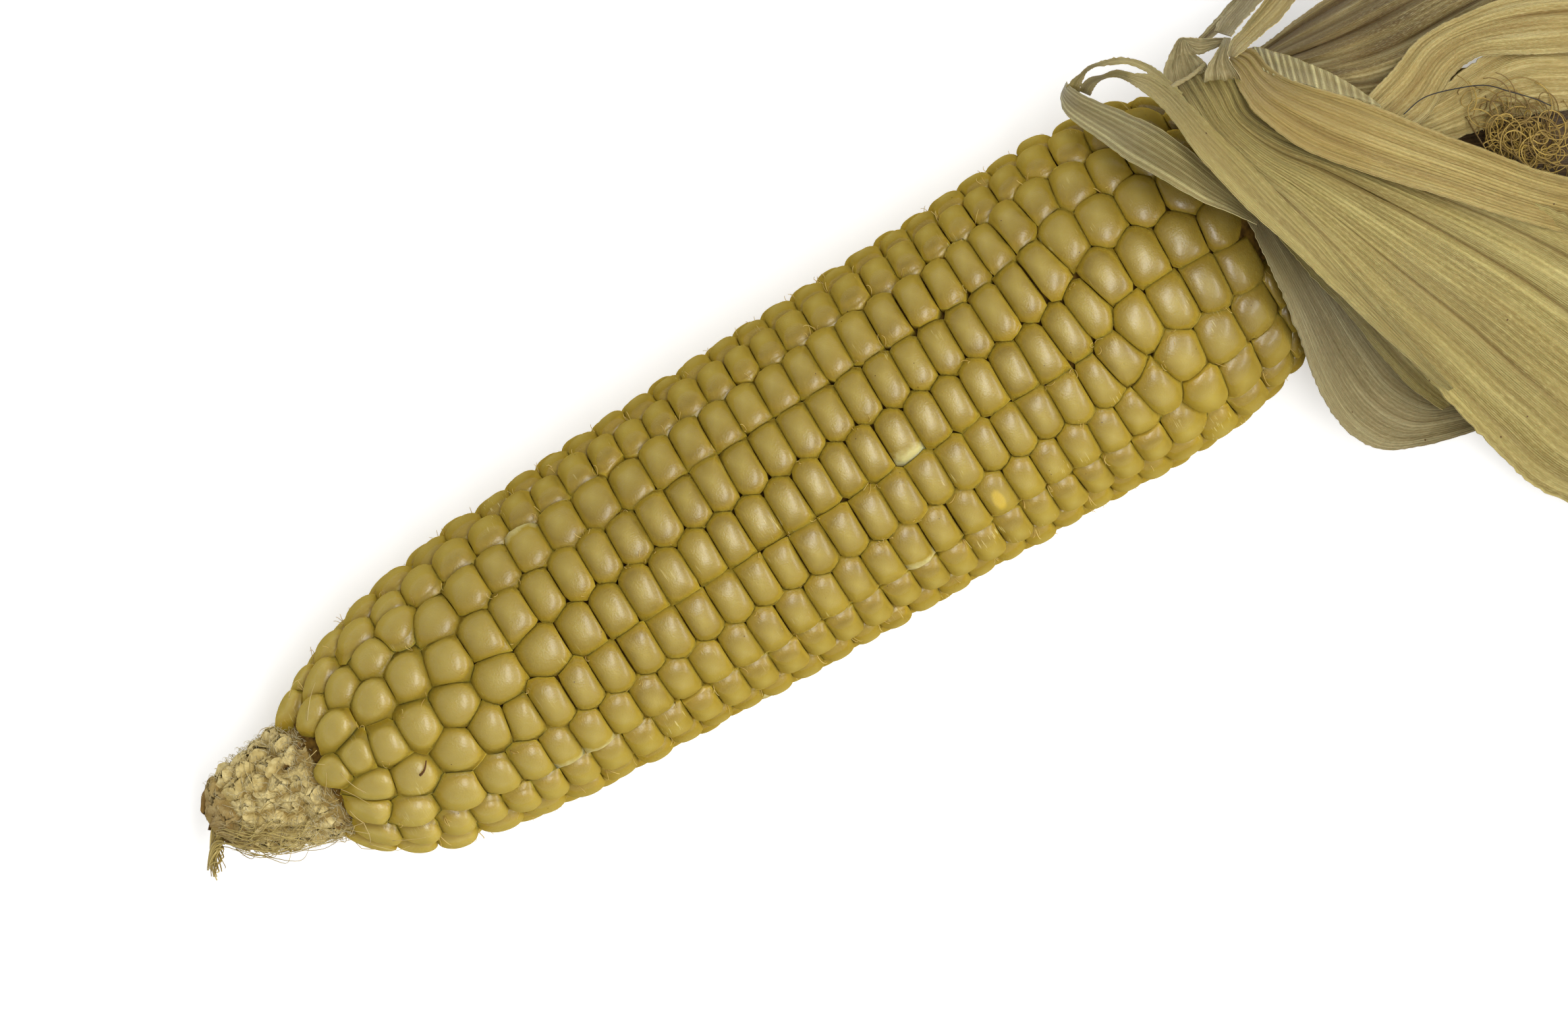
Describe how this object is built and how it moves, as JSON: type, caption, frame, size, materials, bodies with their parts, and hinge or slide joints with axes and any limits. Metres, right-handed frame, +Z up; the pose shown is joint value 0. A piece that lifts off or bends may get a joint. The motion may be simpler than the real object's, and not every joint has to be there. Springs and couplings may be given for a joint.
{
  "type": "corn cob",
  "caption": "Dry ear of corn lying on its side: kernel rows on a cob with a bare tip, and its husk leaves pulled back round the shank.",
  "frame": {"origin": "on the surface that the ear lies on, in the flat spot of a kernel about halfway along its underside", "axes": "+X along the ear from its bare tip to its husk, +Y across it, +Z up"},
  "size_m": [0.2965, 0.113, 0.0624],
  "materials": {
    "kernel": "waxy, half clear, cream gold",
    "cob": "dry chaffy tan, matt",
    "shank": "dry fibrous stalk, matt",
    "husk": "dry ribbed leaf, papery, soft sheen",
    "husk_brown": "warm brown ribbed leaf, papery",
    "husk_grey": "grey tan ribbed leaf, papery",
    "husk_dark": "dark brown dried leaf, papery",
    "silk": "dry brown thread"
  },
  "bodies": {
    "root": {"kernels": "kernel", "cob": "cob", "shank": "shank", "silk_tip": "silk", "silk_husk": "silk", "husk_under_front": "husk", "husk_under_back": "husk", "husk_inner_dark": "husk_dark", "husk_lower_back": "husk_grey", "husk_back_grey": "husk_grey", "husk_panel": "husk", "husk_back_gold": "husk", "husk_lower_edge": "husk", "husk_cuff": "husk", "husk_brown": "husk_brown", "husk_front_fan": "husk", "husk_strip_wide": "husk", "husk_strip_long": "husk", "husk_strip_thin": "husk", "husk_knot_loop": "husk", "husk_strip_back": "husk"}
  },
  "joints": []
}
